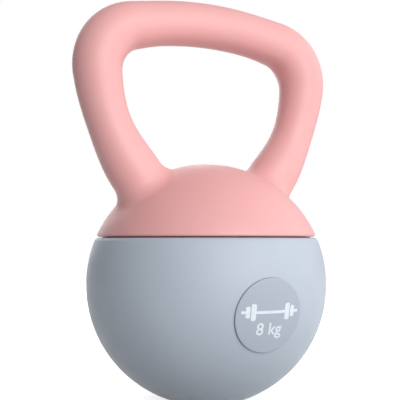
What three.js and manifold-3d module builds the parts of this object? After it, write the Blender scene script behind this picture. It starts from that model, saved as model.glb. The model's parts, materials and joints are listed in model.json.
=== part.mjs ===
// A soft kettlebell: a hollow moulded handle and dome in one piece, standing on a soft
// bowl filled with iron sand. Millimetres and degrees, +Z up. The origin lies on the
// floor, under the ball's centre. The handle spans X, and the badge faces -Y.

import * as THREE from 'three';
import { mergeVertices } from 'three/addons/utils/BufferGeometryUtils.js';
import Module from 'manifold-3d';

const wasm = await Module();
wasm.setup();

// ---------------------------------------------------------------- driving dimensions

const clearance = 0.3; // between pieces that touch

// Ball: the dome and the bowl share one sphere.
const ballRadius = 92.5;
const footCut = 5.9; // what the flat foot takes off the sphere's height
const footRounding = 12;
const seamHeight = 35.8; // seam plane above the ball's centre
const seamGap = 0.8;

// Handle: a round tube bent in the XZ plane. Each leg stands on a radius of the ball.
const legLean = 35.9; // from the vertical
const legRise = 18.1; // straight part above the ball's surface
const legBendRadius = 142;
const legBendAngle = 29.7;
const cornerBendRadius = 34.2;
const cornerBendAngle = 82.6;
const gripTubeRadius = 17.2;
const cornerTubeRadius = 19.1;
const legTubeRadius = 16.6;
const rootTubeRadius = 20;
const rootFillet = 14;
const gripFlatShare = 0.6; // share of the half crown that keeps the grip's radius

// Walls.
const shellWall = 4.5; // handle and dome
const bowlWall = 6.5;
const bowlFloor = 9;
const lipRounding = 1.5; // lower edge of the dome
const rimRounding = 4; // upper edge of the bowl

// Joint between dome and bowl: a neck with a groove, and a bead that snaps into it.
const rimThickness = 7.5;
const neckDepth = 20;
const grooveDrop = 8; // from the dome's shelf to the groove
const grooveWidth = 7;
const grooveDepth = 3;
const grooveBevel = 1.5;
const collarTaper = 7; // height of the slope under the bowl's thick collar
const sealSection = 3;

// Foam plugs that keep the sand out of the handle.
const legPlugRise = 6; // of their lower face above the dome's inside
const legPlugLength = 30;

// Filling hole with its push-in plug, under the base pad.
const fillHoleRadius = 11;
const fillBossRadius = 22;
const fillBossHeight = 6;
const plugFlangeRadius = 16;
const plugFlangeThickness = 3;
const plugWall = 3;
const plugBarbDepth = 2;
const plugBarbLength = 3.5;
const washerThickness = 1.2;
const padThickness = 3;
const padProud = 0.5; // how far the pad stands below the foot
const padMargin = 3.5; // foot left around the pad

// Sand.
const sandGap = 0.6; // between the sand and the walls around it
const sandHeadroom = 7.5; // free space left under the dome's crown

// Badge: a round soft patch in a shallow recess, less domed than the ball.
const badgeRadius = 26.3;
const badgeFaceRadius = 140; // curvature of its face
const badgeInset = 1.2; // depth of the recess
const badgeProud = 1.4; // height of its edge above the ball
const badgeRounding = 0.5;
const badgeDrop = 11.5; // degrees below the ball's equator

// Facets.
const ringSegments = 36;
const tubeSides = 16;
const boreSides = 12;
const stationStep = 10; // length of handle for each ring of facets
const sphereStep = 10; // degrees of sphere for each ring of facets

// ---------------------------------------------------------------- derived dimensions

const footZ = padProud;
const ballZ = footZ + ballRadius - footCut;
const shelfZ = ballZ + seamHeight + seamGap / 2;
const rimZ = ballZ + seamHeight - seamGap / 2;
const domeInnerRadius = ballRadius - shellWall;
const bowlInnerRadius = ballRadius - bowlWall;
const shelfTopZ = shelfZ + shellWall;

const seamRadius = Math.sqrt(ballRadius ** 2 - seamHeight ** 2);
const neckRadius = seamRadius - rimThickness - clearance;
const neckInnerRadius = neckRadius - shellWall;
const grooveRadius = neckRadius - grooveDepth;
const grooveTopZ = shelfZ - grooveDrop;
const grooveBottomZ = grooveTopZ - grooveWidth;
const neckBottomZ = shelfZ - neckDepth;
const collarRadius = neckRadius + clearance;
const collarBottomZ = neckBottomZ - 1;
const sealBottomZ = shelfZ - clearance - sealSection;

const footFilletZ = footZ + footRounding;
const footFilletRadius = Math.sqrt((ballRadius - footRounding) ** 2 - (ballZ - footFilletZ) ** 2);
const padRadius = footFilletRadius - padMargin;
const legPlugStart = domeInnerRadius + legPlugRise;
const floorTopZ = footZ + bowlFloor;
const bossTopZ = floorTopZ + fillBossHeight;
const flangeBottomZ = padThickness + clearance;
const flangeTopZ = flangeBottomZ + plugFlangeThickness;
const washerBottomZ = flangeTopZ + clearance;
const flangeSeatZ = washerBottomZ + washerThickness + clearance;
const spigotRadius = fillHoleRadius - clearance;
const barbZ = bossTopZ + clearance;
const plugTopZ = barbZ + plugBarbLength;

const filletCentreRadius = rootTubeRadius + rootFillet;
const filletCentreDistance = Math.sqrt((ballRadius + rootFillet) ** 2 - filletCentreRadius ** 2);
const badgeHalfAngle = THREE.MathUtils.radToDeg(Math.asin(badgeRadius / ballRadius));

// ---------------------------------------------------------------- geometry helpers

const toRad = THREE.MathUtils.degToRad;
const toDeg = THREE.MathUtils.radToDeg;

// A closed three.js geometry as a solid, without the zero-area faces on a lathe's axis.
function toSolid(geometry) {
  geometry.deleteAttribute('normal');
  geometry.deleteAttribute('uv');
  const merged = mergeVertices(geometry, 1e-5);
  const corners = merged.index.array;
  const triangles = [];
  for (let i = 0; i < corners.length; i += 3) {
    const [a, b, c] = corners.slice(i, i + 3);
    if (a !== b && b !== c && c !== a) triangles.push(a, b, c);
  }
  return new wasm.Manifold(new wasm.Mesh({
    numProp: 3,
    vertProperties: merged.attributes.position.array,
    triVerts: new Uint32Array(triangles),
  }));
}

function toGeometry(solid) {
  const mesh = solid.getMesh();
  const geometry = new THREE.BufferGeometry();
  geometry.setAttribute('position', new THREE.BufferAttribute(mesh.vertProperties, 3));
  geometry.setIndex(new THREE.BufferAttribute(mesh.triVerts, 1));
  geometry.computeVertexNormals();
  return geometry;
}

const at = (radius, z) => new THREE.Vector2(radius, z);

// Points on an arc of a profile, from one elevation to another, ends included.
function arc(centre, radius, from, to, steps) {
  const points = [];
  for (let i = 0; i <= steps; i++) {
    const angle = toRad(from + (to - from) * i / steps);
    points.push(at(centre.x + radius * Math.cos(angle), centre.y + radius * Math.sin(angle)));
  }
  return points;
}

// Part of the ball's own section, at a given radius.
function ballArc(radius, from, to) {
  const steps = Math.ceil(Math.abs(to - from) / sphereStep);
  return arc(at(0, ballZ), radius, from, to, steps);
}

const elevationAt = (radius, z) => toDeg(Math.asin((z - ballZ) / radius));

// Turns a profile of (radius, z) points about Z. Profiles run anticlockwise, and start
// and end on the axis or close on themselves.
function turn(profile, segments = ringSegments) {
  return toSolid(new THREE.LatheGeometry(profile, segments).rotateX(Math.PI / 2));
}

const ringProfile = points => [...points, points[0].clone()];

// ---------------------------------------------------------------- handle centreline

// The centreline from the ball's centre up one leg, over the grip and down the other,
// as a curve in (x, z). Every bend turns the same way.
function handleCentreline() {
  const centreline = new THREE.CurvePath();
  const position = new THREE.Vector2(0, ballZ);
  let heading = 90 + legLean;

  function goStraight(length) {
    const step = new THREE.Vector2(Math.cos(toRad(heading)), Math.sin(toRad(heading)));
    const end = position.clone().addScaledVector(step, length);
    centreline.add(new THREE.LineCurve(position.clone(), end));
    position.copy(end);
  }

  function bend(radius, angle) {
    const start = toRad(heading + 90);
    const end = toRad(heading + 90 - angle);
    const centre = position.clone();
    centre.x -= radius * Math.cos(start);
    centre.y -= radius * Math.sin(start);
    centreline.add(new THREE.EllipseCurve(centre.x, centre.y, radius, radius, start, end, true));
    position.set(centre.x + radius * Math.cos(end), centre.y + radius * Math.sin(end));
    heading -= angle;
  }

  goStraight(ballRadius + legRise);
  bend(legBendRadius, legBendAngle);
  bend(cornerBendRadius, cornerBendAngle);
  const crownAngle = heading;
  const crownRadius = -position.x / Math.sin(toRad(crownAngle));
  bend(crownRadius, 2 * crownAngle);
  bend(cornerBendRadius, cornerBendAngle);
  bend(legBendRadius, legBendAngle);
  goStraight(ballRadius + legRise);
  return centreline;
}

const centreline = handleCentreline();
const centrelineLength = centreline.getLength();

// Radius of the handle's outside at a distance along the centreline from the ball's
// centre: swelling from the leg's root to its waist, out at the corner, in at the grip.
function tubeRadiusAt(distance) {
  const legEnd = ballRadius + legRise;
  const bendEnd = legEnd + legBendRadius * toRad(legBendAngle);
  const cornerEnd = bendEnd + cornerBendRadius * toRad(cornerBendAngle);
  const middle = centrelineLength / 2;
  const knots = [
    [filletCentreDistance, rootTubeRadius],
    [(legEnd + bendEnd) / 2, legTubeRadius],
    [(bendEnd + cornerEnd) / 2, cornerTubeRadius],
    [middle - gripFlatShare * (middle - cornerEnd), gripTubeRadius],
  ];
  const d = Math.min(distance, centrelineLength - distance);
  const next = knots.findIndex(([knot]) => d < knot);
  if (next === 0) return rootTubeRadius;
  if (next < 0) return gripTubeRadius;
  const [from, low] = knots[next - 1];
  const [to, high] = knots[next];
  return THREE.MathUtils.lerp(low, high, THREE.MathUtils.smoothstep(d, from, to));
}

// Rings of the handle from one root to the other, as distance and radius, with the
// surface moved in by an inset. Each root flares in a fillet on to the ball, which
// runs out straight just before it would touch the sphere.
function handleRings(inset) {
  const filletArc = 60;
  const filletSteps = 4;
  const runOut = 6;
  const buried = 10;
  const fillet = rootFillet + inset;
  const root = [];
  for (let i = 0; i <= filletSteps; i++) {
    const angle = toRad(filletArc * (1 - i / filletSteps));
    root.push([
      filletCentreDistance - fillet * Math.sin(angle),
      filletCentreRadius - fillet * Math.cos(angle),
    ]);
  }
  const [firstDistance, firstRadius] = root[0];
  const edge = [
    firstDistance - runOut * Math.cos(toRad(filletArc)),
    firstRadius + runOut * Math.sin(toRad(filletArc)),
  ];
  root.unshift([edge[0] - buried, edge[1]], edge);

  const span = centrelineLength / 2 - filletCentreDistance;
  const steps = Math.ceil(span / stationStep);
  for (let i = 1; i <= steps; i++) {
    const distance = filletCentreDistance + span * i / steps;
    root.push([distance, tubeRadiusAt(distance) - inset]);
  }
  const far = root.slice(0, -1).reverse();
  return [...root, ...far.map(([distance, radius]) => [centrelineLength - distance, radius])];
}

// A closed tube through rings of [distance, radius] along the centreline: a cylinder
// whose rows of corners are carried to the rings.
function sweep(rings, sides) {
  const geometry = new THREE.CylinderGeometry(1, 1, 1, sides, rings.length - 1);
  const position = geometry.attributes.position;
  for (let i = 0; i < position.count; i++) {
    const row = Math.round((position.getY(i) + 0.5) * (rings.length - 1));
    const [distance, radius] = rings[row];
    const share = distance / centrelineLength;
    const centre = centreline.getPointAt(share);
    const along = centreline.getTangentAt(share);
    const across = position.getX(i) * radius;
    position.setXYZ(
      i,
      centre.x - along.y * across,
      position.getZ(i) * radius,
      centre.y + along.x * across,
    );
  }
  return toSolid(geometry);
}

// ---------------------------------------------------------------- pieces

function handleShell() {
  const lipCentre = at(
    Math.sqrt((ballRadius - lipRounding) ** 2 - (shelfZ + lipRounding - ballZ) ** 2),
    shelfZ + lipRounding,
  );
  const lipEnd = elevationAt(ballRadius - lipRounding, lipCentre.y);
  const outside = [
    at(0, neckBottomZ),
    at(neckRadius, neckBottomZ),
    at(neckRadius, grooveBottomZ),
    at(grooveRadius, grooveBottomZ + grooveBevel),
    at(grooveRadius, grooveTopZ - grooveBevel),
    at(neckRadius, grooveTopZ),
    at(neckRadius, shelfZ),
    ...arc(lipCentre, lipRounding, -90, lipEnd, 3),
    ...ballArc(ballRadius, lipEnd, 90).slice(1),
  ];
  const body = turn(outside).add(sweep(handleRings(0), tubeSides));

  const overcut = 1;
  const inside = [
    at(0, neckBottomZ - overcut),
    at(neckInnerRadius, neckBottomZ - overcut),
    ...neckBore(0),
    ...ballArc(domeInnerRadius, elevationAt(domeInnerRadius, shelfTopZ), 90),
  ];
  return body.subtract(turn(inside).add(sweep(handleRings(shellWall), boreSides)));
}

// The neck's inside, which bulges in behind the groove, up to the top of the shelf.
function neckBore(gap) {
  const radius = neckInnerRadius - gap;
  const bulge = grooveRadius - shellWall - gap;
  return [
    at(radius, grooveBottomZ - grooveDepth),
    at(bulge, grooveBottomZ),
    at(bulge, grooveTopZ),
    at(radius, grooveTopZ + grooveDepth),
    at(radius, shelfTopZ + gap),
  ];
}

function softBowl() {
  const filletEnd = -toDeg(Math.atan2(ballZ - footFilletZ, footFilletRadius));
  const rimCentreZ = rimZ - rimRounding;
  const rimCentre = at(
    Math.sqrt((ballRadius - rimRounding) ** 2 - (rimCentreZ - ballZ) ** 2),
    rimCentreZ,
  );
  const rimStart = elevationAt(ballRadius - rimRounding, rimCentreZ);
  const rebateRadius = neckRadius + sealSection + 2 * clearance;
  const beadRadius = grooveRadius + clearance;
  const beadTopZ = grooveTopZ - clearance;
  const beadBottomZ = grooveBottomZ + clearance;
  const profile = ringProfile([
    at(fillHoleRadius, flangeSeatZ),
    at(plugFlangeRadius + clearance, flangeSeatZ),
    at(plugFlangeRadius + clearance, padThickness + clearance),
    at(padRadius + clearance, padThickness + clearance),
    at(padRadius + clearance, footZ),
    ...arc(at(footFilletRadius, footFilletZ), footRounding, -90, filletEnd, 4),
    ...ballArc(ballRadius, filletEnd, rimStart).slice(1),
    ...arc(rimCentre, rimRounding, rimStart, 90, 5).slice(1),
    at(rebateRadius, rimZ),
    at(rebateRadius, sealBottomZ - clearance),
    at(collarRadius, sealBottomZ - clearance),
    at(collarRadius, beadTopZ),
    at(beadRadius, beadTopZ - grooveBevel),
    at(beadRadius, beadBottomZ + grooveBevel),
    at(collarRadius, beadBottomZ),
    at(collarRadius, collarBottomZ),
    ...ballArc(
      bowlInnerRadius,
      elevationAt(bowlInnerRadius, collarBottomZ - collarTaper),
      elevationAt(bowlInnerRadius, floorTopZ),
    ),
    at(fillBossRadius, floorTopZ),
    at(fillBossRadius, bossTopZ),
    at(fillHoleRadius, bossTopZ),
  ]);
  return turn(profile).subtract(placeBadge(badgeRecess()));
}

// The badge and its recess are turned about the badge's own axis, which runs through
// the ball's centre, so their profiles count from there.
const badgeSteps = 3;

function weightBadge() {
  const slope = toRad(90 - badgeHalfAngle);
  const edgeRadius = (ballRadius + badgeProud) * Math.cos(slope);
  const edgeHeight = (ballRadius + badgeProud) * Math.sin(slope);
  const shoulderRadius = edgeRadius - badgeRounding;
  const faceCentre = at(0, edgeHeight - Math.sqrt(badgeFaceRadius ** 2 - edgeRadius ** 2));
  const shoulder = toDeg(Math.acos(shoulderRadius / badgeFaceRadius));
  const side = badgeRounding / (ballRadius + badgeProud);
  return turn([
    ...arc(at(0, 0), ballRadius - badgeInset, 90, 90 - badgeHalfAngle, badgeSteps),
    at(edgeRadius * (1 - side), edgeHeight * (1 - side)),
    ...arc(faceCentre, badgeFaceRadius, shoulder, 90, badgeSteps),
  ]);
}

function badgeRecess() {
  const halfAngle = badgeHalfAngle + toDeg(clearance / ballRadius);
  const bottom = ballRadius - badgeInset - clearance;
  const top = ballRadius + badgeProud;
  return turn([
    ...arc(at(0, 0), bottom, 90, 90 - halfAngle, badgeSteps),
    ...arc(at(0, 0), top, 90 - halfAngle, 90, badgeSteps),
  ]);
}

const badgeTilt = 90 + badgeDrop;

function placeBadge(disc) {
  return disc.rotate([badgeTilt, 0, 0]).translate([0, 0, ballZ]);
}

function rimSealRing() {
  const inner = neckRadius + clearance;
  return turn(ringProfile([
    at(inner, sealBottomZ),
    at(inner + sealSection, sealBottomZ),
    at(inner + sealSection, sealBottomZ + sealSection),
    at(inner, sealBottomZ + sealSection),
  ]));
}

// A foam plug pushed up into the left leg, following its bore.
function legPlug() {
  const inset = shellWall + clearance;
  const bore = handleRings(inset);
  const end = legPlugStart + legPlugLength;
  const within = bore.filter(([distance]) => distance > legPlugStart && distance < end);
  const flare = rootFillet + inset;
  const depth = filletCentreDistance - legPlugStart;
  const mouth = filletCentreRadius - Math.sqrt(flare ** 2 - depth ** 2);
  const rings = [[legPlugStart, mouth], ...within, [end, tubeRadiusAt(end) - inset]];
  return sweep(rings, boreSides);
}

function ironSandFill() {
  const outer = bowlInnerRadius - sandGap;
  const dome = domeInnerRadius - sandGap;
  const slopeGap = 2 * sandGap; // measured along Z under the collar's slope
  const topZ = ballZ + domeInnerRadius - sandHeadroom;
  const bottomZ = floorTopZ + sandGap;
  const bossClearZ = bossTopZ + sandGap;
  return turn([
    at(0, plugTopZ + sandGap),
    at(spigotRadius + sandGap, plugTopZ + sandGap),
    at(spigotRadius + plugBarbDepth + 2 * sandGap, bossClearZ),
    at(fillBossRadius + sandGap, bossClearZ),
    at(fillBossRadius + sandGap, bottomZ),
    ...ballArc(
      outer,
      elevationAt(outer, bottomZ),
      elevationAt(outer, collarBottomZ - collarTaper - slopeGap),
    ),
    at(collarRadius, collarBottomZ - slopeGap),
    at(neckInnerRadius - sandGap, collarBottomZ - slopeGap),
    ...neckBore(sandGap),
    ...ballArc(dome, elevationAt(dome, shelfTopZ + sandGap), elevationAt(dome, topZ)),
    at(0, topZ),
  ]);
}

// A cup-shaped plug with a flange outside the floor and a barb inside it.
function fillPlug() {
  const hollow = spigotRadius - plugWall;
  return turn([
    at(0, plugTopZ - plugWall),
    at(hollow, plugTopZ - plugWall),
    at(hollow, flangeBottomZ),
    at(plugFlangeRadius, flangeBottomZ),
    at(plugFlangeRadius, flangeTopZ),
    at(spigotRadius, flangeTopZ),
    at(spigotRadius, barbZ),
    at(spigotRadius + plugBarbDepth, barbZ),
    at(spigotRadius, plugTopZ),
    at(0, plugTopZ),
  ]);
}

function plugWasher() {
  const inner = spigotRadius + clearance;
  const top = washerBottomZ + washerThickness;
  return turn(ringProfile([
    at(inner, washerBottomZ),
    at(plugFlangeRadius, washerBottomZ),
    at(plugFlangeRadius, top),
    at(inner, top),
  ]));
}

function basePad() {
  return turn([at(0, 0), at(padRadius, 0), at(padRadius, padThickness), at(0, padThickness)]);
}

// ---------------------------------------------------------------- assembly

function finish(colour, roughness) {
  return new THREE.MeshStandardMaterial({ color: colour, roughness, metalness: 0 });
}

const handlePlastic = finish(0xe9b6b4, 0.5);
const bowlVinyl = finish(0xb4bdca, 0.6);
const badgeVinyl = finish(0xaeb7c4, 0.5);
const sealRubber = finish(0x2c2b2c, 0.9);
const padRubber = finish(0x4a4f57, 0.9);
const plugPlastic = finish(0x8f98a5, 0.5);
const plugFoam = finish(0xe4e1da, 1);
const sand = finish(0x3b3a3c, 0.9);

const kettlebell = new THREE.Group();

function place(name, solid, material) {
  const mesh = new THREE.Mesh(toGeometry(solid), material);
  mesh.name = name;
  kettlebell.add(mesh);
  return mesh;
}

place('handle_shell', handleShell(), handlePlastic);
place('soft_bowl', softBowl(), bowlVinyl);
place('rim_seal_ring', rimSealRing(), sealRubber);
place('leg_plug_left', legPlug(), plugFoam);
place('leg_plug_right', legPlug(), plugFoam).rotation.z = Math.PI;
place('iron_sand_fill', ironSandFill(), sand);
place('fill_plug', fillPlug(), plugPlastic);
place('fill_plug_washer', plugWasher(), sealRubber);
place('base_pad', basePad(), padRubber);

const badge = place('weight_badge', weightBadge(), badgeVinyl);
badge.rotation.x = toRad(badgeTilt);
badge.position.z = ballZ;

export default kettlebell;
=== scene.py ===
"""The looks of a soft kettlebell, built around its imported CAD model.

Shapes are worked out in millimetres and scaled to metres when a piece is made. The
frame is the CAD model's own: +Z up, the origin on the floor under the ball's centre,
the handle across X, and the badge facing -Y.
"""

import json
import math

import bmesh
import bpy
import numpy as np
from mathutils import Matrix, Vector


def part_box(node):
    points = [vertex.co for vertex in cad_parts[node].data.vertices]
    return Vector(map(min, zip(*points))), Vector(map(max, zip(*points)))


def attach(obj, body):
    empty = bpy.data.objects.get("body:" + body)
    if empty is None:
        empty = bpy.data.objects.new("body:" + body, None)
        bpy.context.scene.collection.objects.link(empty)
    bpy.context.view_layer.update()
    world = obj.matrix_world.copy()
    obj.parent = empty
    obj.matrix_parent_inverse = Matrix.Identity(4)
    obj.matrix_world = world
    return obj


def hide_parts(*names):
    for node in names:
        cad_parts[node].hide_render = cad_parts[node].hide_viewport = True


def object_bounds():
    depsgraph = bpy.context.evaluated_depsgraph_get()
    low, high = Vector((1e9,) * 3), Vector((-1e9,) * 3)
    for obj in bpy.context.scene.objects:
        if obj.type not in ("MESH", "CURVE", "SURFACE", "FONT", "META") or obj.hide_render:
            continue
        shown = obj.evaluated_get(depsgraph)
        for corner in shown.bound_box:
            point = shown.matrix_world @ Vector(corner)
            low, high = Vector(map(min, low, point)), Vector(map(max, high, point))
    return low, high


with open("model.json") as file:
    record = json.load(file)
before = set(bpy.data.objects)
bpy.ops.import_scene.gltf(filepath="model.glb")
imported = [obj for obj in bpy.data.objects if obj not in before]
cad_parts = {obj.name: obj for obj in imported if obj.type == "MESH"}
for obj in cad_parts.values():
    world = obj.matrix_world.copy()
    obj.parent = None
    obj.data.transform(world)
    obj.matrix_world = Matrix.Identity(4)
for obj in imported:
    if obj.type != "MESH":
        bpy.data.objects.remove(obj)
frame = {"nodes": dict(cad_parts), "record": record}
cad_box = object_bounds()
scene = bpy.context.scene
scene.view_settings.view_transform = "Standard"

MM = 0.001


def box_mm(node):
    """Lowest and highest corner of a CAD node, in millimetres."""
    low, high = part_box(node)
    return low / MM, high / MM


# ------------------------------------------------------------------ sizes, as in the CAD

BALL_RADIUS = 92.5
FOOT_CUT = 5.9
FOOT_ROUNDING = 12
SEAM_HEIGHT = 35.8

LEG_LEAN = math.radians(35.9)
LEG_RISE = 18.1
LEG_BEND_RADIUS = 142
LEG_BEND_ANGLE = math.radians(29.7)
CORNER_BEND_RADIUS = 34.2
CORNER_BEND_ANGLE = math.radians(82.6)
GRIP_TUBE_RADIUS = 17.2
CORNER_TUBE_RADIUS = 19.1
LEG_TUBE_RADIUS = 16.6
ROOT_TUBE_RADIUS = 20
ROOT_FILLET = 14
GRIP_FLAT_SHARE = 0.6

CLEARANCE = 0.3
SHELL_WALL = 4.5
BOWL_WALL = 6.5
BOWL_FLOOR = 9
LIP_ROUNDING = 1.5
RIM_ROUNDING = 4
RIM_THICKNESS = 7.5
GROOVE_DROP = 8
GROOVE_WIDTH = 7
GROOVE_DEPTH = 3
GROOVE_BEVEL = 1.5
COLLAR_TAPER = 7
FILL_HOLE_RADIUS = 11
FILL_BOSS_RADIUS = 22
FILL_BOSS_HEIGHT = 6

BADGE_RADIUS = 26.3
BADGE_FACE_RADIUS = 140
BADGE_INSET = 1.2
BADGE_PROUD = 1.4
BADGE_TILT = math.radians(90 + 11.5)  # its axis, from straight up towards the front

# Boxes of CAD pieces: heights and radii below are taken from them.
bowl_low, bowl_high = box_mm("soft_bowl")
pad_high = box_mm("base_pad")[1]
plug_low, plug_high = box_mm("fill_plug")
washer_low, washer_high = box_mm("fill_plug_washer")
seal_low, seal_high = box_mm("rim_seal_ring")
handle_low = box_mm("handle_shell")[0]

FOOT_Z = bowl_low.z
RIM_Z = bowl_high.z
BALL_Z = FOOT_Z + BALL_RADIUS - FOOT_CUT
SHELF_Z = 2 * (BALL_Z + SEAM_HEIGHT) - RIM_Z  # as far above the seam as the rim is below it
NECK_BOTTOM_Z = handle_low.z
GROOVE_TOP_Z = SHELF_Z - GROOVE_DROP

SEAM_RADIUS = math.sqrt(BALL_RADIUS**2 - SEAM_HEIGHT**2)
NECK_RADIUS = SEAM_RADIUS - RIM_THICKNESS - CLEARANCE

# ------------------------------------------------------------------ camera

CAMERA_AZIMUTH = math.radians(-28.975)
CAMERA_DISTANCE = 644.27
CAMERA_HEIGHT = 33.83  # above the ball's centre
CAMERA_YAW = math.radians(0.417)  # turned aside from the ball's centre
CAMERA_PITCH = math.radians(2.76)
FOCAL_LENGTH = 74.246
SENSOR_WIDTH = 36
NEAREST_SEEN = 10


def add_camera():
    data = bpy.data.cameras.new("camera")
    data.sensor_width = SENSOR_WIDTH
    data.lens = FOCAL_LENGTH
    data.clip_start = NEAREST_SEEN * MM
    camera = bpy.data.objects.new("camera", data)
    camera.location = MM * Vector((
        math.sin(CAMERA_AZIMUTH) * CAMERA_DISTANCE,
        -math.cos(CAMERA_AZIMUTH) * CAMERA_DISTANCE,
        BALL_Z + CAMERA_HEIGHT,
    ))
    heading = CAMERA_AZIMUTH + CAMERA_YAW
    camera.rotation_euler = (math.pi / 2 + CAMERA_PITCH, 0, heading)
    scene.collection.objects.link(camera)
    scene.camera = camera


add_camera()

# ------------------------------------------------------------------ profiles and grids


def arc(centre, radius, start, end, step):
    """Points on an arc of a (radius, z) profile between two elevations, in degrees."""
    count = max(1, math.ceil(abs(end - start) / step))
    angles = np.radians(np.linspace(start, end, count + 1))
    return [(centre[0] + radius * math.cos(a), centre[1] + radius * math.sin(a)) for a in angles]


def ball_arc(radius, start, end, step):
    return arc((0, BALL_Z), radius, start, end, step)


def elevation_at(radius, z):
    return math.degrees(math.asin((z - BALL_Z) / radius))


def ring_rows(profile, azimuths):
    """A (radius, z) profile turned to each azimuth: rows of points."""
    profile = np.array(profile)
    x = profile[:, :1] * np.cos(azimuths)
    y = profile[:, :1] * np.sin(azimuths)
    z = np.repeat(profile[:, 1:], len(azimuths), axis=1)
    return np.stack((x, y, z), axis=-1)


MERGE_DISTANCE = 0.002  # points this close are one point
EMPTY_EDGE = 0.0005  # an edge this short is left out


class Surface:
    """Grids of points in millimetres, gathered into one closed mesh."""

    def __init__(self):
        self.bm = bmesh.new()

    def add_grid(self, rows, closed):
        """Quads between rows of points; a closed grid joins each row's ends."""
        corners = [[self.bm.verts.new(point) for point in row] for row in rows]
        columns = len(rows[0])
        for upper, lower in zip(corners, corners[1:]):
            for i in range(columns if closed else columns - 1):
                j = (i + 1) % columns
                self.bm.faces.new((upper[i], upper[j], lower[j], lower[i]))

    def mirror(self):
        """Adds the other half, across the plane X = 0."""
        copy = bmesh.ops.duplicate(self.bm, geom=self.bm.verts[:] + self.bm.faces[:])
        for element in copy["geom"]:
            if isinstance(element, bmesh.types.BMVert):
                element.co.x = -element.co.x

    def to_mesh(self, name, transform=Matrix.Identity(4)):
        """Joins touching edges, points the faces outwards and scales to metres."""
        bmesh.ops.remove_doubles(self.bm, verts=self.bm.verts, dist=MERGE_DISTANCE)
        bmesh.ops.dissolve_degenerate(self.bm, edges=self.bm.edges, dist=EMPTY_EDGE)
        bmesh.ops.recalc_face_normals(self.bm, faces=self.bm.faces)
        self.bm.transform(Matrix.Scale(MM, 4) @ transform)
        mesh = bpy.data.meshes.new(name)
        self.bm.to_mesh(mesh)
        self.bm.free()
        return mesh


SMOOTH_ANGLE = math.radians(32)


def add_piece(name, mesh, material, replaces=()):
    """A piece that rides on the body, smooth except at its real edges."""
    mesh.shade_smooth()
    mesh.set_sharp_from_angle(angle=SMOOTH_ANGLE)
    piece = bpy.data.objects.new(name, mesh)
    piece.data.materials.append(material)
    scene.collection.objects.link(piece)
    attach(piece, "root")
    if replaces:
        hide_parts(*replaces)
    return piece


def turned(name, profile, segments, transform=Matrix.Identity(4)):
    """A closed (radius, z) profile turned about Z."""
    surface = Surface()
    azimuths = np.linspace(0, 2 * math.pi, segments, endpoint=False)
    surface.add_grid(ring_rows(list(profile) + [profile[0]], azimuths), closed=True)
    return surface.to_mesh(name, transform)


def cut(mesh, tool_mesh):
    """One mesh with another cut away."""
    body = bpy.data.objects.new("body_to_cut", mesh)
    tool = bpy.data.objects.new("cutting_tool", tool_mesh)
    for item in (body, tool):
        scene.collection.objects.link(item)
    boolean = body.modifiers.new("cut", "BOOLEAN")
    boolean.operation = "DIFFERENCE"
    boolean.solver = "EXACT"
    boolean.object = tool
    depsgraph = bpy.context.evaluated_depsgraph_get()
    result = bpy.data.meshes.new_from_object(body.evaluated_get(depsgraph))
    result.name = mesh.name
    for item in (body, tool):
        bpy.data.objects.remove(item)
    return result


# ------------------------------------------------------------------ materials

# Sockets of the Mix node that carry its factor, its two colours and their mix.
MIX_FACTOR, MIX_FIRST, MIX_SECOND = 0, 6, 7
MIX_RESULT = 2


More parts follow.
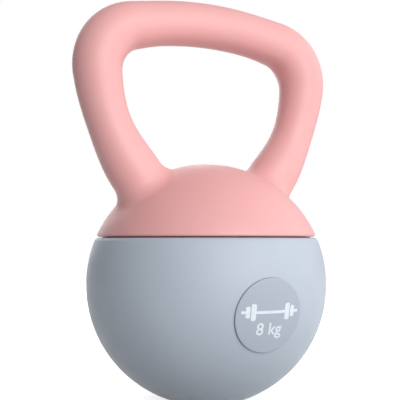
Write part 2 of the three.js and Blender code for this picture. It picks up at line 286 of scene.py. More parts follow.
class Material:
    """A node material around one Principled shader, in the piece's own coordinates."""

    def __init__(self, name, roughness, sheen=0.0, specular=0.5):
        self.material = bpy.data.materials.new(name)
        self.material.use_nodes = True
        self.nodes = self.material.node_tree.nodes
        self.links = self.material.node_tree.links
        self.shader = self.nodes["Principled BSDF"]
        self.shader.inputs["Roughness"].default_value = roughness
        self.shader.inputs["Specular IOR Level"].default_value = specular
        self.shader.inputs["Sheen Weight"].default_value = sheen
        self.coordinates = self.nodes.new("ShaderNodeTexCoord").outputs["Object"]

    def noise(self, size, detail=2.0, roughness=0.5):
        """Noise whose features are about size millimetres wide."""
        node = self.nodes.new("ShaderNodeTexNoise")
        node.inputs["Scale"].default_value = 1 / (size * MM)
        node.inputs["Detail"].default_value = detail
        node.inputs["Roughness"].default_value = roughness
        self.links.new(self.coordinates, node.inputs["Vector"])
        return node.outputs["Fac"]

    def cells(self, size):
        """A node of cells about size millimetres apart. Its Distance grows outwards from
        each cell's point, and its Color is each cell's own."""
        node = self.nodes.new("ShaderNodeTexVoronoi")
        node.inputs["Scale"].default_value = 1 / (size * MM)
        self.links.new(self.coordinates, node.inputs["Vector"])
        return node

    def spread(self, value, low, high, start=0.3, end=0.7):
        """A value from start to end, spread evenly from low to high."""
        node = self.nodes.new("ShaderNodeMapRange")
        node.inputs["From Min"].default_value = start
        node.inputs["From Max"].default_value = end
        node.inputs["To Min"].default_value = low
        node.inputs["To Max"].default_value = high
        self.links.new(value, node.inputs["Value"])
        return node.outputs["Result"]

    def blend(self, factor, first, second):
        """A mix of two colours, each a colour or a socket."""
        node = self.nodes.new("ShaderNodeMix")
        node.data_type = "RGBA"
        inputs = ((MIX_FACTOR, factor), (MIX_FIRST, first), (MIX_SECOND, second))
        for socket, value in inputs:
            if isinstance(value, bpy.types.NodeSocket):
                self.links.new(value, node.inputs[socket])
            elif isinstance(value, float):
                node.inputs[socket].default_value = value
            else:
                node.inputs[socket].default_value = (*value, 1)
        return node.outputs[MIX_RESULT]

    def colour(self, socket):
        self.links.new(socket, self.shader.inputs["Base Color"])

    def roughness(self, socket):
        self.links.new(socket, self.shader.inputs["Roughness"])

    def bump(self, layers):
        """Layers of (height socket, depth in millimetres), coarse ones first."""
        normal = None
        for height, depth in layers:
            node = self.nodes.new("ShaderNodeBump")
            node.inputs["Strength"].default_value = 1
            node.inputs["Distance"].default_value = depth * MM
            self.links.new(height, node.inputs["Height"])
            if normal:
                self.links.new(normal, node.inputs["Normal"])
            normal = node.outputs["Normal"]
        self.links.new(normal, self.shader.inputs["Normal"])


# The lamps wash these colours out.
DEEPENING = {"handle_plastic": (1.0, 0.87, 0.87), "badge_vinyl": (1.0, 0.985, 0.985)}


def slot_colour(slot, scale=1.0):
    """A material slot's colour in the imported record, made lighter or darker."""
    tint = DEEPENING.get(slot, (1, 1, 1))
    for row in frame["record"]["materials"]:
        if row["slot"] == slot:
            return tuple(min(1.0, v * t * scale) for v, t in zip(row["base_color"], tint))
    raise KeyError(slot)


def moulded_plastic(name, slot, roughness, specular=0.5):
    """Moulded plastic with a fine eroded grain and faint clouds in its colour."""
    material = Material(name, roughness, specular=specular)
    clouds = material.spread(material.noise(45), 0, 1)
    speckle = material.spread(material.noise(0.9, detail=3), 0, 1)
    base = material.blend(clouds, slot_colour(slot, 0.975), slot_colour(slot, 1.015))
    fleck = material.blend(speckle, slot_colour(slot, 0.95), slot_colour(slot, 1.04))
    material.colour(material.blend(0.35, base, fleck))
    rubbed = material.noise(12, detail=4)
    material.roughness(material.spread(rubbed, roughness - 0.04, roughness + 0.05))
    material.bump([
        (material.noise(9, detail=1), 0.02),
        (material.noise(0.55, detail=2, roughness=0.6), 0.006),
    ])
    return material.material


def soft_vinyl(name, slot, roughness):
    """Soft vinyl: satin, with a fine even grain and a little dust in its pores."""
    material = Material(name, roughness)
    clouds = material.spread(material.noise(38), 0, 1)
    pores = material.spread(material.cells(0.7).outputs["Distance"], 0, 1, 0, 0.5)
    base = material.blend(clouds, slot_colour(slot, 0.975), slot_colour(slot, 1.02))
    fleck = material.blend(pores, slot_colour(slot, 1.03), slot_colour(slot, 0.95))
    material.colour(material.blend(0.35, base, fleck))
    rubbed = material.noise(10, detail=4)
    material.roughness(material.spread(rubbed, roughness - 0.04, roughness + 0.05))
    material.bump([
        (material.noise(14, detail=1), 0.03),
        (material.cells(0.7).outputs["Distance"], 0.01),
    ])
    return material.material


def plain_rubber(name, slot, roughness, grain):
    """Dull rubber with pebbles about grain millimetres wide, with painted shade in the gaps
    between the pebbles and their tops painted lighter.
    """
    material = Material(name, roughness, specular=0.35)
    pebbles = material.cells(grain)
    # Painted shade: the colour is darker in the low gaps between the pebbles and lighter on
    # their raised tops.
    pebble_gap_shade = material.spread(pebbles.outputs["Distance"], 0, 1, 0, 0.7)
    scuffs = material.spread(material.noise(6, detail=5), 0, 1, 0.45, 0.8)
    base = material.blend(pebble_gap_shade, slot_colour(slot, 1.1), slot_colour(slot, 0.75))
    dusty = material.blend(scuffs, slot_colour(slot, 1.0), slot_colour(slot, 1.45))
    material.colour(material.blend(0.35, base, dusty))
    material.roughness(material.spread(scuffs, roughness - 0.05, roughness + 0.05, 0, 1))
    material.bump([(pebbles.outputs["Distance"], -0.06)])
    return material.material


def open_foam(name, slot):
    """Foam with open pores."""
    material = Material(name, 0.95, sheen=0.2, specular=0.2)
    pores = material.cells(1.1)
    depth = material.spread(pores.outputs["Distance"], 1, 0, 0, 0.6)
    material.colour(material.blend(depth, slot_colour(slot, 0.55), slot_colour(slot, 1.05)))
    material.bump([(pores.outputs["Distance"], 0.3)])
    return material.material


def loose_sand(name, slot):
    """Dark iron sand: separate grains, a few of them bright."""
    material = Material(name, 0.7, specular=0.6)
    grains = material.cells(0.8)
    tone = material.spread(grains.outputs["Color"], 0, 1, 0, 1)
    material.colour(material.blend(tone, slot_colour(slot, 0.5), slot_colour(slot, 2.2)))
    material.roughness(material.spread(grains.outputs["Color"], 0.45, 0.85, 0, 1))
    material.bump([(grains.outputs["Distance"], -0.35)])
    return material.material


INK_COLOUR = (0.80, 0.84, 0.90)
INK_WORN = (0.70, 0.75, 0.81)


def print_ink(name):
    """Screen-printed ink, with a slight unevenness where it was pressed on."""
    material = Material(name, 0.45)
    wear = material.spread(material.noise(1.6, detail=4), 0, 1, 0.35, 0.6)
    material.colour(material.blend(wear, INK_WORN, INK_COLOUR))
    material.bump([(material.noise(0.4, detail=2), 0.01)])
    return material.material


handle_plastic = moulded_plastic("handle_plastic", "handle_plastic", 0.5, specular=0.7)
bowl_vinyl = soft_vinyl("bowl_vinyl", "bowl_vinyl", 0.52)
badge_vinyl = soft_vinyl("badge_vinyl", "badge_vinyl", 0.5)
seal_rubber = plain_rubber("seal_rubber", "seal_rubber", 0.85, 0.6)
pad_rubber = plain_rubber("pad_rubber", "pad_rubber", 0.85, 1.3)
plug_plastic = moulded_plastic("plug_plastic", "plug_plastic", 0.5)
plug_foam = open_foam("plug_foam", "plug_foam")
iron_sand = loose_sand("iron_sand", "iron_sand")
badge_ink = print_ink("badge_ink")

# ------------------------------------------------------------------ handle

FILLET_OUT = ROOT_TUBE_RADIUS + ROOT_FILLET
FILLET_DISTANCE = math.sqrt((BALL_RADIUS + ROOT_FILLET) ** 2 - FILLET_OUT**2)
FILLET_ANGLE = math.atan2(FILLET_DISTANCE, FILLET_OUT)
TUBE_COLUMNS = 96  # points around the tube, and around each root on the dome
TUBE_ROW_STEP = 2.0  # length of handle between two rows
INNER_ROW_STEP = 6.0
DOME_ROWS = 44
INNER_DOME_ROWS = 14
LIP_ARC_STEP = 12  # degrees


def direction(angle):
    return np.array((math.cos(angle), math.sin(angle)))


def along_bend(position, heading, length, turn, distance):
    """Position and heading at a distance along a stretch that turns clockwise."""
    if turn == 0:
        return position + distance * direction(heading), heading
    radius = length / turn
    outward = heading + math.pi / 2
    centre = position - radius * direction(outward)
    turned_by = distance / radius
    return centre + radius * direction(outward - turned_by), heading - turned_by


def handle_stretches():
    """The centreline from the ball's centre to the grip's middle, in (x, z): each
    stretch's start, heading, length and turn."""
    sizes = [
        (BALL_RADIUS + LEG_RISE, 0),
        (LEG_BEND_RADIUS * LEG_BEND_ANGLE, LEG_BEND_ANGLE),
        (CORNER_BEND_RADIUS * CORNER_BEND_ANGLE, CORNER_BEND_ANGLE),
    ]
    position, heading = np.array((0, BALL_Z)), math.pi / 2 + LEG_LEAN
    stretches = []
    for length, turn in sizes:
        stretches.append((position, heading, length, turn))
        position, heading = along_bend(position, heading, length, turn, length)
    crown_radius = -position[0] / math.sin(heading)
    stretches.append((position, heading, crown_radius * heading, heading))
    return stretches


STRETCHES = handle_stretches()
HALF_LENGTH = sum(length for _, _, length, _ in STRETCHES)


def centreline_at(distance):
    """Centre and heading of the handle at a distance from the ball's centre."""
    for position, heading, length, turn in STRETCHES[:-1]:
        if distance <= length:
            return along_bend(position, heading, length, turn, distance)
        distance -= length
    return along_bend(*STRETCHES[-1], distance)


def tube_radius_at(distance):
    """From the leg's root to its waist, out at the corner, and in at the grip."""
    leg_end, bend, corner = (length for _, _, length, _ in STRETCHES[:3])
    corner_end = leg_end + bend + corner
    knots = [
        (FILLET_DISTANCE, ROOT_TUBE_RADIUS),
        (leg_end + bend / 2, LEG_TUBE_RADIUS),
        (leg_end + bend + corner / 2, CORNER_TUBE_RADIUS),
        (HALF_LENGTH - GRIP_FLAT_SHARE * (HALF_LENGTH - corner_end), GRIP_TUBE_RADIUS),
    ]
    for (start, low), (end, high) in zip(knots, knots[1:]):
        if distance < end:
            share = min(max((distance - start) / (end - start), 0), 1)
            return low + (high - low) * share**2 * (3 - 2 * share)
    return GRIP_TUBE_RADIUS


def ring_at(distance, radius, bearings):
    """Points around the centreline, at bearings counted from the handle's outer side."""
    centre, heading = centreline_at(distance)
    outward = direction(heading + math.pi / 2)
    across = radius * np.cos(bearings)
    x = centre[0] + outward[0] * across
    z = centre[1] + outward[1] * across
    return np.stack((x, radius * np.sin(bearings), z), axis=-1)


# The dome's half around one leg, on the unit sphere: great circles run from the leg's
# axis at each bearing to the half's edge, which is the rim or the ridge at X = 0.
LEG_AXIS = np.array((-math.sin(LEG_LEAN), 0, math.cos(LEG_LEAN)))
LEG_OUTWARD = np.array((-math.cos(LEG_LEAN), 0, -math.sin(LEG_LEAN)))
ACROSS = np.array((0, 1, 0))


def rim_reach(bearing, height):
    """Angle from the leg's axis to the horizontal circle at a height, along a bearing."""
    lean = math.cos(bearing) * LEG_OUTWARD[2]
    return math.atan2(lean, LEG_AXIS[2]) + math.acos(height / math.hypot(lean, LEG_AXIS[2]))


def ridge_reach(bearing):
    """Angle from the leg's axis to the ridge along a bearing, if it ever gets there."""
    towards = math.cos(bearing) * LEG_OUTWARD[0]
    if towards <= 0:
        return math.inf
    return math.atan2(-LEG_AXIS[0], towards)


def leg_direction(bearing, reach):
    side = math.cos(bearing) * LEG_OUTWARD + math.sin(bearing) * ACROSS
    return math.cos(reach) * LEG_AXIS + math.sin(reach) * side


def column_bearings(rim_height):
    """Even bearings, with the nearest ones moved to the two corners of the half dome."""
    bearings = np.linspace(0, 2 * math.pi, TUBE_COLUMNS, endpoint=False)
    side = math.sqrt(1 - rim_height**2)
    corner_direction = np.array((0, side, rim_height))
    corner = math.atan2(corner_direction @ ACROSS, corner_direction @ LEG_OUTWARD)
    first = int(np.argmin(abs(bearings - corner)))
    bearings[first] = corner
    bearings[-first] = 2 * math.pi - corner
    return bearings, first


LIP_CENTRE = (
    math.sqrt((BALL_RADIUS - LIP_ROUNDING) ** 2 - (SHELF_Z + LIP_ROUNDING - BALL_Z) ** 2),
    SHELF_Z + LIP_ROUNDING,
)
LIP_ELEVATION = elevation_at(BALL_RADIUS - LIP_ROUNDING, LIP_CENTRE[1])
RIM_HEIGHT = math.sin(math.radians(LIP_ELEVATION))
BEARINGS, CORNER_COLUMN = column_bearings(RIM_HEIGHT)


def half_edge(elevation):
    """The half dome's edge for every column, as directions, where the rim is at an
    elevation. Columns up to the corner end on the rim, and the others on the ridge."""
    outline = []
    ridge_span = math.pi / 2 - math.radians(LIP_ELEVATION)
    for column, bearing in enumerate(BEARINGS):
        on_rim = min(column, TUBE_COLUMNS - column) <= CORNER_COLUMN
        if on_rim:
            end = leg_direction(bearing, rim_reach(bearing, RIM_HEIGHT))
            azimuth = math.atan2(end[1], min(end[0], 0))
            if min(column, TUBE_COLUMNS - column) == CORNER_COLUMN:
                azimuth = math.copysign(math.pi / 2, end[1])
            height, level = math.sin(math.radians(elevation)), math.cos(math.radians(elevation))
            end = np.array((level * math.cos(azimuth), level * math.sin(azimuth), height))
        else:
            end = leg_direction(bearing, ridge_reach(bearing))
            share = math.atan2(end[1], end[2]) / ridge_span
            tilt = share * (math.pi / 2 - math.radians(elevation))
            end = np.array((0, math.sin(tilt), math.cos(tilt)))
        outline.append(end)
    return np.array(outline)


def sphere_rows(radius, elevation, count):
    """Rows on the dome from the leg's fillet to the half dome's edge."""
    start_reach = math.atan2(FILLET_OUT, FILLET_DISTANCE)
    starts = np.array([leg_direction(bearing, start_reach) for bearing in BEARINGS])
    ends = half_edge(elevation)
    angles = np.arccos(np.clip(np.sum(starts * ends, axis=1), -1, 1))[:, None]
    rows = []
    for share in np.linspace(0, 1, count + 1):
        mixed = np.sin((1 - share) * angles) * starts + np.sin(share * angles) * ends
        rows.append(radius * mixed / np.sin(angles) + (0, 0, BALL_Z))
    return rows


def half_shell(inset, row_step, dome_rows, elevation):
    """Rows from the grip's middle down one leg and over its half of the dome."""
    row_count = math.ceil((HALF_LENGTH - FILLET_DISTANCE) / row_step)
    rows = [
        ring_at(distance, tube_radius_at(distance) - inset, BEARINGS)
        for distance in np.linspace(HALF_LENGTH, FILLET_DISTANCE, row_count + 1)
    ]
    fillet = ROOT_FILLET + inset
    fillet_count = math.ceil(fillet * FILLET_ANGLE / row_step)
    for angle in np.linspace(0, FILLET_ANGLE, fillet_count + 1)[1:]:
        distance = FILLET_DISTANCE - fillet * math.sin(angle)
        rows.append(ring_at(distance, FILLET_OUT - fillet * math.cos(angle), BEARINGS))
    rows += sphere_rows(BALL_RADIUS - inset, elevation, dome_rows)[1:]
    return rows


def make_handle():
    """The hollow handle and dome, with the neck that plugs into the bowl."""
    shelf_top = SHELF_Z + SHELL_WALL
    inner_radius = BALL_RADIUS - SHELL_WALL
    inner_elevation = elevation_at(inner_radius, shelf_top)
    groove_radius = NECK_RADIUS - GROOVE_DEPTH
    groove_bottom = GROOVE_TOP_Z - GROOVE_WIDTH
    bore = NECK_RADIUS - SHELL_WALL
    neck = [
        *arc(LIP_CENTRE, LIP_ROUNDING, LIP_ELEVATION, -90, LIP_ARC_STEP),
        (NECK_RADIUS, SHELF_Z),
        (NECK_RADIUS, GROOVE_TOP_Z),
        (groove_radius, GROOVE_TOP_Z - GROOVE_BEVEL),
        (groove_radius, groove_bottom + GROOVE_BEVEL),
        (NECK_RADIUS, groove_bottom),
        (NECK_RADIUS, NECK_BOTTOM_Z),
        (bore, NECK_BOTTOM_Z),
        (bore, groove_bottom - GROOVE_DEPTH),
        (bore - GROOVE_DEPTH, groove_bottom),
        (bore - GROOVE_DEPTH, GROOVE_TOP_Z),
        (bore, GROOVE_TOP_Z + GROOVE_DEPTH),
        (bore, shelf_top),
        ball_arc(inner_radius, inner_elevation, inner_elevation, 1)[0],
    ]
    edge = half_edge(LIP_ELEVATION)
    on_rim = range(-CORNER_COLUMN, CORNER_COLUMN + 1)
    azimuths = np.array([math.atan2(edge[column][1], edge[column][0]) for column in on_rim])
    surface = Surface()
    surface.add_grid(half_shell(0, TUBE_ROW_STEP, DOME_ROWS, LIP_ELEVATION), closed=True)
    inside = half_shell(SHELL_WALL, INNER_ROW_STEP, INNER_DOME_ROWS, inner_elevation)
    surface.add_grid(inside, closed=True)
    surface.add_grid(ring_rows(neck, azimuths), closed=False)
    surface.mirror()
    mesh = surface.to_mesh("handle")
    return add_piece("handle", mesh, handle_plastic, ["handle_shell"])


make_handle()

# ------------------------------------------------------------------ bowl

BOWL_SEGMENTS = 288
BALL_ARC_STEP = 1.25  # degrees, like the steps below
FOOT_ARC_STEP = 4
RIM_ARC_STEP = 6
INNER_ARC_STEP = 5
COLLAR_DROP = 1  # from the neck's end to the end of the collar
PAD_RECESS_BEVEL = 0.4

pad_radius = pad_high.x


def make_bowl():
    """The soft bowl: rounded rim and foot, the bead behind the neck, and the floor."""
    foot_centre = (
        math.sqrt((BALL_RADIUS - FOOT_ROUNDING) ** 2 - (BALL_Z - FOOT_Z - FOOT_ROUNDING) ** 2),
        FOOT_Z + FOOT_ROUNDING,
    )
    foot_end = -math.degrees(math.atan2(BALL_Z - foot_centre[1], foot_centre[0]))
    rim_centre_z = RIM_Z - RIM_ROUNDING
    rim_centre = (
        math.sqrt((BALL_RADIUS - RIM_ROUNDING) ** 2 - (rim_centre_z - BALL_Z) ** 2),
        rim_centre_z,
    )
    rim_start = elevation_at(BALL_RADIUS - RIM_ROUNDING, rim_centre_z)
    inner_radius = BALL_RADIUS - BOWL_WALL
    collar = NECK_RADIUS + CLEARANCE
    bead = collar - GROOVE_DEPTH
    bead_top = GROOVE_TOP_Z - CLEARANCE
    bead_bottom = GROOVE_TOP_Z - GROOVE_WIDTH + CLEARANCE
    seal_seat = seal_low.z - CLEARANCE
    collar_bottom = NECK_BOTTOM_Z - COLLAR_DROP
    floor_top = FOOT_Z + BOWL_FLOOR
    seat = washer_high.z + CLEARANCE
    socket = plug_high.x + CLEARANCE
    recess = pad_radius + CLEARANCE
    profile = [
        (FILL_HOLE_RADIUS, seat),
        (socket, seat),
        (socket, pad_high.z + CLEARANCE),
        (recess, pad_high.z + CLEARANCE),
        (recess, FOOT_Z + PAD_RECESS_BEVEL),
        (recess + PAD_RECESS_BEVEL, FOOT_Z),
        *arc(foot_centre, FOOT_ROUNDING, -90, foot_end, FOOT_ARC_STEP),
        *ball_arc(BALL_RADIUS, foot_end, rim_start, BALL_ARC_STEP)[1:],
        *arc(rim_centre, RIM_ROUNDING, rim_start, 90, RIM_ARC_STEP)[1:],
        (seal_high.x + CLEARANCE, RIM_Z),
        (seal_high.x + CLEARANCE, seal_seat),
        (collar, seal_seat),
        (collar, bead_top),
        (bead, bead_top - GROOVE_BEVEL),
        (bead, bead_bottom + GROOVE_BEVEL),
        (collar, bead_bottom),
        (collar, collar_bottom),
        *ball_arc(
            inner_radius,
            elevation_at(inner_radius, collar_bottom - COLLAR_TAPER),
            elevation_at(inner_radius, floor_top),
            INNER_ARC_STEP,
        ),
        (FILL_BOSS_RADIUS, floor_top),
        (FILL_BOSS_RADIUS, floor_top + FILL_BOSS_HEIGHT),
        (FILL_HOLE_RADIUS, floor_top + FILL_BOSS_HEIGHT),
    ]
    mesh = cut(turned("bowl", profile, BOWL_SEGMENTS), badge_recess())
    return add_piece("bowl", mesh, bowl_vinyl, ["soft_bowl"])


# ------------------------------------------------------------------ badge

BADGE_SEGMENTS = 160
BADGE_ROUNDING = 0.9  # softer than the CAD's edge
BADGE_GAP = 0.08  # recess around the badge
RECESS_BEVEL = 0.25
RECESS_RINGS = 16
BACK_RINGS = 20
FACE_RINGS = 24
EDGE_RINGS = 6

BADGE_PLACE = Matrix.Translation((0, 0, BALL_Z)) @ Matrix.Rotation(BADGE_TILT, 4, "X")
BADGE_HALF_ANGLE = math.asin(BADGE_RADIUS / BALL_RADIUS)
BADGE_EDGE = (BALL_RADIUS + BADGE_PROUD) * math.sin(BADGE_HALF_ANGLE)
BADGE_EDGE_HEIGHT = (BALL_RADIUS + BADGE_PROUD) * math.cos(BADGE_HALF_ANGLE)
FACE_CENTRE = BADGE_EDGE_HEIGHT - math.sqrt(BADGE_FACE_RADIUS**2 - BADGE_EDGE**2)


def axis_arc(centre_height, radius, start, end, count):
    """An arc about a point on the badge's axis, by angles from the axis."""
    return [
        (radius * math.sin(a), centre_height + radius * math.cos(a))
        for a in np.linspace(start, end, count + 1)
    ]


def badge_recess():
    """What the badge's recess takes off the bowl, with a soft outer edge."""
    half = BADGE_HALF_ANGLE + BADGE_GAP / BALL_RADIUS
    bottom = BALL_RADIUS - BADGE_INSET - CLEARANCE
    outermost = half + 2 * RECESS_BEVEL / BALL_RADIUS
    profile = [
        *axis_arc(0, bottom, 0, half, RECESS_RINGS),
        *axis_arc(0, BALL_RADIUS - RECESS_BEVEL, half, half, 0),
        *axis_arc(0, BALL_RADIUS + RECESS_BEVEL, outermost, 0, RECESS_RINGS),
    ]
    return turned("badge_recess", profile, BADGE_SEGMENTS, BADGE_PLACE)


def make_badge():
    """A soft round patch, flatter than the ball, with a rounded edge."""
    half = BADGE_HALF_ANGLE
    face_edge = math.asin(BADGE_EDGE / BADGE_FACE_RADIUS)
    shoulder = face_edge - BADGE_ROUNDING / BADGE_FACE_RADIUS
    centre_radius = BADGE_FACE_RADIUS - BADGE_ROUNDING
    centre_x = centre_radius * math.sin(shoulder)
    centre_height = FACE_CENTRE + centre_radius * math.cos(shoulder)
    rounding = [
        (centre_x + BADGE_ROUNDING * math.sin(a), centre_height + BADGE_ROUNDING * math.cos(a))
        for a in np.linspace(math.pi / 2 - half, shoulder, EDGE_RINGS + 1)
    ]
    profile = [
        *axis_arc(0, BALL_RADIUS - BADGE_INSET, 0, half, BACK_RINGS),
        *rounding,
        *axis_arc(FACE_CENTRE, BADGE_FACE_RADIUS, shoulder, 0, FACE_RINGS)[1:],
    ]
    mesh = turned("badge", profile, BADGE_SEGMENTS, BADGE_PLACE)
    return add_piece("badge", mesh, badge_vinyl, ["weight_badge"])


make_bowl()
make_badge()

# ------------------------------------------------------------------ print on the badge

PRINT_THICKNESS = 0.12
PRINT_SINK = 0.05  # how far the print's underside lies in the badge
PRINT_CELL = 2.0  # the print is cut into cells this wide, to follow the face
PRINT_MERGE_DISTANCE = 0.01
BLOCK_CORNER_STEPS = 4
LABEL_SIZE = 12.2
LABEL_WEIGHT = 0.13  # how much the font's strokes are thickened
LABEL_CURVE_STEPS = 6
LABEL_BASELINE = -12.8
SYMBOL_HEIGHT = 3.2  # the symbol's middle, above the badge's

# The barbell symbol's right half: each block's inner and outer x, height and rounding.
SYMBOL_BLOCKS = (
    (0.0, 11.6, 2.0, 0.0),
    (11.6, 15.4, 11.6, 1.1),
    (16.2, 19.4, 8.0, 1.0),
    (19.4, 22.8, 2.0, 0.6),
)


def fill_outline(bm, points):
    corners = [bm.verts.new((x, y, 0)) for x, y in points]
    bm.faces.new(corners)


def rounded_block(x0, x1, height, rounding):
    """Corners of a block centred on y = 0, rounded where it has a rounding."""
    half = height / 2
    if rounding == 0:
        return [(x0, -half), (x1, -half), (x1, half), (x0, half)]
    centres = [
        (x1 - rounding, rounding - half, -90),
        (x1 - rounding, half - rounding, 0),
        (x0 + rounding, half - rounding, 90),
        (x0 + rounding, rounding - half, 180),
    ]
    return [
        (cx + rounding * math.cos(math.radians(a)), cy + rounding * math.sin(math.radians(a)))
        for cx, cy, start in centres
        for a in np.linspace(start, start + 90, BLOCK_CORNER_STEPS + 1)
    ]


def add_symbol(bm):
    """A plain barbell, seen from the side."""
    for x0, x1, height, rounding in SYMBOL_BLOCKS:
        block = rounded_block(x0, x1, height, rounding)
        fill_outline(bm, [(x, y + SYMBOL_HEIGHT) for x, y in block])
        fill_outline(bm, [(-x, y + SYMBOL_HEIGHT) for x, y in reversed(block)])


def add_label(bm, text):
    """Plain upright characters, from Blender's own font."""
    curve = bpy.data.curves.new("label", "FONT")
    curve.body = text
    curve.size = LABEL_SIZE
    curve.align_x = "CENTER"
    curve.offset = LABEL_WEIGHT
    curve.resolution_u = LABEL_CURVE_STEPS
    label = bpy.data.objects.new("label", curve)
    scene.collection.objects.link(label)
    mesh = bpy.data.meshes.new_from_object(label)
    mesh.transform(Matrix.Translation((0, LABEL_BASELINE, 0)))
    bm.from_mesh(mesh)
    bpy.data.objects.remove(label)


def cut_into_cells(bm):
    """Cuts a flat mesh along a square grid."""
    lines = np.arange(-BADGE_RADIUS, BADGE_RADIUS, PRINT_CELL)
    for normal in ((1, 0, 0), (0, 1, 0)):
        for line in lines:
            everything = bm.verts[:] + bm.edges[:] + bm.faces[:]
            point = Vector(normal) * line
            bmesh.ops.bisect_plane(bm, geom=everything, plane_co=point, plane_no=normal)


def make_print():
    """The symbol and the weight, as a thin raised layer that follows the face."""
    bm = bmesh.new()
    add_symbol(bm)
    add_label(bm, "8 kg")
    bmesh.ops.remove_doubles(bm, verts=bm.verts, dist=PRINT_MERGE_DISTANCE)
    cut_into_cells(bm)
    top = bmesh.ops.extrude_face_region(bm, geom=bm.faces[:])["geom"]
    raised = {element for element in top if isinstance(element, bmesh.types.BMVert)}
    for vertex in bm.verts:
        x, y = vertex.co.x, vertex.co.y
        outward = Vector((x, y, math.sqrt(BADGE_FACE_RADIUS**2 - x * x - y * y)))
        lift = PRINT_THICKNESS if vertex in raised else -PRINT_SINK
        vertex.co = Vector((0, 0, FACE_CENTRE)) + outward * (1 + lift / BADGE_FACE_RADIUS)
    bmesh.ops.recalc_face_normals(bm, faces=bm.faces)
    bm.transform(Matrix.Scale(MM, 4) @ BADGE_PLACE)
    mesh = bpy.data.meshes.new("badge_print")
    bm.to_mesh(mesh)
    bm.free()
    return add_piece("badge_print", mesh, badge_ink)


make_print()

# ------------------------------------------------------------------ seal, pad and filling

RING_SEGMENTS = 192
SECTION_ARC_STEP = 30  # degrees
SEAL_ROUNDING = 0.7
WASHER_ROUNDING = 0.3


def rounded_section(inner, outer, low, high, rounding):
    """A rectangular (radius, z) section with rounded corners."""
    corners = [
        (outer - rounding, low + rounding, -90),
        (outer - rounding, high - rounding, 0),
        (inner + rounding, high - rounding, 90),
        (inner + rounding, low + rounding, 180),
    ]
    return [
        point
        for x, z, start in corners
        for point in arc((x, z), rounding, start, start + 90, SECTION_ARC_STEP)
    ]


def make_seal():
    """The soft ring in the rim's rebate."""
    inner = NECK_RADIUS + CLEARANCE
    profile = rounded_section(inner, seal_high.x, seal_low.z, seal_high.z, SEAL_ROUNDING)
    mesh = turned("seal_ring", profile, RING_SEGMENTS)
    return add_piece("seal_ring", mesh, seal_rubber, ["rim_seal_ring"])


PAD_BEVEL = 0.5
PAD_ARC_STEP = 22.5  # degrees
PAD_GROOVES = (10, 15, 20)  # radii of the shallow grooves in its underside
PAD_GROOVE_WIDTH = 1.6
PAD_GROOVE_DEPTH = 0.45


def make_pad():
    """The rubber disc that the kettlebell stands on, with shallow grooves for grip."""
    half = PAD_GROOVE_WIDTH / 2
    underside = [(0, 0)]
    for radius in PAD_GROOVES:
        underside += [
            (radius - half, 0),
            (radius - half / 2, PAD_GROOVE_DEPTH),
            (radius + half / 2, PAD_GROOVE_DEPTH),
            (radius + half, 0),
        ]
    profile = [
        *underside,
        (pad_radius - PAD_BEVEL, 0),
        *arc((pad_radius - PAD_BEVEL, PAD_BEVEL), PAD_BEVEL, -90, 0, PAD_ARC_STEP),
        (pad_radius, pad_high.z),
        (0, pad_high.z),
    ]
    mesh = turned("pad", profile, RING_SEGMENTS)
    return add_piece("pad", mesh, pad_rubber, ["base_pad"])


PLUG_WALL = 3
PLUG_BARB_DEPTH = 2
PLUG_BARB_LENGTH = 3.5
PLUG_FLANGE_THICKNESS = 3
PLUG_BEVEL = 0.4


def make_plug():
    """The push-in plug of the filling hole: a cup with a flange and a barb."""
    spigot = FILL_HOLE_RADIUS - CLEARANCE
    hollow = spigot - PLUG_WALL
    flange_top = plug_low.z + PLUG_FLANGE_THICKNESS
    barb = plug_high.z - PLUG_BARB_LENGTH
    profile = [
        (0, plug_high.z - PLUG_WALL),
        (hollow, plug_high.z - PLUG_WALL),
        (hollow, plug_low.z + PLUG_BEVEL),
        (hollow + PLUG_BEVEL, plug_low.z),
        (plug_high.x - PLUG_BEVEL, plug_low.z),
        (plug_high.x, plug_low.z + PLUG_BEVEL),
        (plug_high.x, flange_top),
        (spigot, flange_top),
        (spigot, barb),
        (spigot + PLUG_BARB_DEPTH, barb),
        (spigot, plug_high.z),
        (0, plug_high.z),
    ]
    mesh = turned("plug", profile, RING_SEGMENTS // 2)
    return add_piece("plug", mesh, plug_plastic, ["fill_plug"])


def make_washer():
    """The flat ring under the plug's flange."""
    outer, low, high = washer_high.x, washer_low.z, washer_high.z
    profile = rounded_section(FILL_HOLE_RADIUS, outer, low, high, WASHER_ROUNDING)
    mesh = turned("plug_washer", profile, RING_SEGMENTS // 2)
    return add_piece("plug_washer", mesh, seal_rubber, ["fill_plug_washer"])


LEG_PLUG_RISE = 6  # of its lower face above the dome's inside
LEG_PLUG_START = BALL_RADIUS - SHELL_WALL + LEG_PLUG_RISE
LEG_PLUG_LENGTH = 30
LEG_PLUG_ROUNDING = 1.5
LEG_PLUG_COLUMNS = 48
LEG_PLUG_ROWS = 14
LEG_PLUG_CORNER_ROWS = 5
LEG_PLUG_RING = 0.55  # where each end face has its ring of points


def bore_radius(distance):
    """The leg's inside at a distance, less the clearance, flare and all."""
    inset = SHELL_WALL + CLEARANCE
    if distance >= FILLET_DISTANCE:
        return tube_radius_at(distance) - inset
    return FILLET_OUT - math.sqrt((ROOT_FILLET + inset) ** 2 - (FILLET_DISTANCE - distance) ** 2)


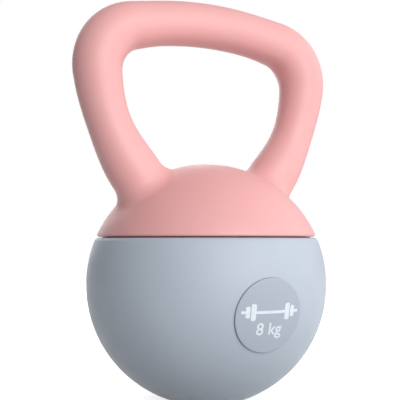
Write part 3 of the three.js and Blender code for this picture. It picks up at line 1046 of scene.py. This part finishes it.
def make_leg_plug(side):
    """A foam plug squeezed into one leg, to keep the sand in the ball."""
    bearings = np.linspace(0, 2 * math.pi, LEG_PLUG_COLUMNS, endpoint=False)
    start, end = LEG_PLUG_START, LEG_PLUG_START + LEG_PLUG_LENGTH
    rounding = LEG_PLUG_ROUNDING
    rows = [
        ring_at(start, 0, bearings),
        ring_at(start, LEG_PLUG_RING * bore_radius(start), bearings),
    ]
    for angle in np.linspace(0, math.pi / 2, LEG_PLUG_CORNER_ROWS):
        inset = rounding * (1 - math.sin(angle))
        distance = start + rounding * (1 - math.cos(angle))
        rows.append(ring_at(distance, bore_radius(distance) - inset, bearings))
    for distance in np.linspace(start + rounding, end - rounding, LEG_PLUG_ROWS)[1:-1]:
        rows.append(ring_at(distance, bore_radius(distance), bearings))
    for angle in np.linspace(math.pi / 2, 0, LEG_PLUG_CORNER_ROWS):
        inset = rounding * (1 - math.sin(angle))
        distance = end - rounding * (1 - math.cos(angle))
        rows.append(ring_at(distance, bore_radius(distance) - inset, bearings))
    rows += [
        ring_at(end, LEG_PLUG_RING * bore_radius(end), bearings),
        ring_at(end, 0, bearings),
    ]
    surface = Surface()
    surface.add_grid(rows, closed=True)
    turn = Matrix.Rotation(math.pi, 4, "Z") if side == "right" else Matrix.Identity(4)
    mesh = surface.to_mesh(f"foam_plug_{side}", turn)
    plug = add_piece(f"foam_plug_{side}", mesh, plug_foam, [f"leg_plug_{side}"])
    return plug


def finish_sand():
    """The sand keeps its CAD shape, which nothing shows, and gets its own material."""
    sand = frame["nodes"]["iron_sand_fill"]
    for slot in sand.material_slots:
        slot.link = "OBJECT"
        slot.material = iron_sand


make_seal()
make_pad()
make_plug()
make_washer()
make_leg_plug("left")
make_leg_plug("right")
finish_sand()

# ------------------------------------------------------------------ floor and light

# Lengths of the floor and the lamps are in metres.
FLOOR_SIZE = 12.0
FLOOR_DROP = 0.0002  # below the pad, so that the two don't share a plane
FLOOR_GLOW = 0.72
FLOOR_PALE = (0.9, 0.9, 0.9, 1)
FLOOR_GREY = (0.3, 0.3, 0.3, 1)  # darker, so that less light comes back up from it
WORLD_COLOUR = (0.96, 0.98, 1.0, 1)
WORLD_STRENGTH = 0.38


def make_floor():
    """A pale floor: white to the camera, with the object's soft shadow kept, and clear
    from below."""
    bpy.ops.mesh.primitive_plane_add(size=FLOOR_SIZE, location=(0, 0, -FLOOR_DROP))
    floor = bpy.context.object
    floor.name = "floor"
    material = bpy.data.materials.new("floor")
    material.use_nodes = True
    nodes, links = material.node_tree.nodes, material.node_tree.links
    nodes.clear()
    path = nodes.new("ShaderNodeLightPath")
    pale = nodes.new("ShaderNodeBsdfDiffuse")
    pale.inputs["Color"].default_value = FLOOR_PALE
    glow = nodes.new("ShaderNodeEmission")
    glow.inputs["Strength"].default_value = FLOOR_GLOW
    both = nodes.new("ShaderNodeAddShader")
    grey = nodes.new("ShaderNodeBsdfDiffuse")
    grey.inputs["Color"].default_value = FLOOR_GREY
    seen = nodes.new("ShaderNodeMath")
    seen.operation = "MAXIMUM"
    mix = nodes.new("ShaderNodeMixShader")
    side = nodes.new("ShaderNodeNewGeometry")
    clear = nodes.new("ShaderNodeBsdfTransparent")
    sided = nodes.new("ShaderNodeMixShader")
    output = nodes.new("ShaderNodeOutputMaterial")
    links.new(path.outputs["Is Camera Ray"], seen.inputs[0])
    links.new(path.outputs["Is Glossy Ray"], seen.inputs[1])
    links.new(pale.outputs[0], both.inputs[0])
    links.new(glow.outputs[0], both.inputs[1])
    links.new(seen.outputs[0], mix.inputs["Fac"])
    links.new(grey.outputs[0], mix.inputs[1])
    links.new(both.outputs[0], mix.inputs[2])
    links.new(side.outputs["Backfacing"], sided.inputs["Fac"])
    links.new(mix.outputs[0], sided.inputs[1])
    links.new(clear.outputs[0], sided.inputs[2])
    links.new(sided.outputs[0], output.inputs["Surface"])
    floor.data.materials.append(material)


def make_world():
    """Even, faintly cool light all round, and white where the camera looks."""
    world = bpy.data.worlds.new("world")
    scene.world = world
    world.use_nodes = True
    nodes, links = world.node_tree.nodes, world.node_tree.links
    nodes.clear()
    path = nodes.new("ShaderNodeLightPath")
    light = nodes.new("ShaderNodeBackground")
    light.inputs["Color"].default_value = WORLD_COLOUR
    light.inputs["Strength"].default_value = WORLD_STRENGTH
    white = nodes.new("ShaderNodeBackground")
    white.inputs["Color"].default_value = (1, 1, 1, 1)
    mix = nodes.new("ShaderNodeMixShader")
    output = nodes.new("ShaderNodeOutputWorld")
    links.new(path.outputs["Is Camera Ray"], mix.inputs["Fac"])
    links.new(light.outputs[0], mix.inputs[1])
    links.new(white.outputs[0], mix.inputs[2])
    links.new(mix.outputs[0], output.inputs["Surface"])


def add_lamp(name, side, elevation, distance, size, power):
    """A square lamp facing the object. Side is its angle from the camera's direction,
    to the right, and elevation its angle above the object's middle, in degrees."""
    heading = CAMERA_AZIMUTH + math.radians(side)
    level = math.cos(math.radians(elevation))
    towards = Vector((
        level * math.sin(heading), -level * math.cos(heading), math.sin(math.radians(elevation)),
    ))
    data = bpy.data.lights.new(name, "AREA")
    data.size = size
    data.energy = power
    lamp = bpy.data.objects.new(name, data)
    lamp.location = (cad_box[0] + cad_box[1]) / 2 + distance * towards
    lamp.rotation_euler = (-towards).to_track_quat("-Z", "Y").to_euler()
    scene.collection.objects.link(lamp)


make_floor()
make_world()
add_lamp("front_softbox", side=32, elevation=16, distance=1.6, size=1.4, power=24.5)
add_lamp("side_softbox", side=95, elevation=15, distance=1.6, size=1.3, power=7)
add_lamp("back_softbox", side=130, elevation=30, distance=1.6, size=1.3, power=3)
add_lamp("back_fill", side=200, elevation=20, distance=1.6, size=1.3, power=12)
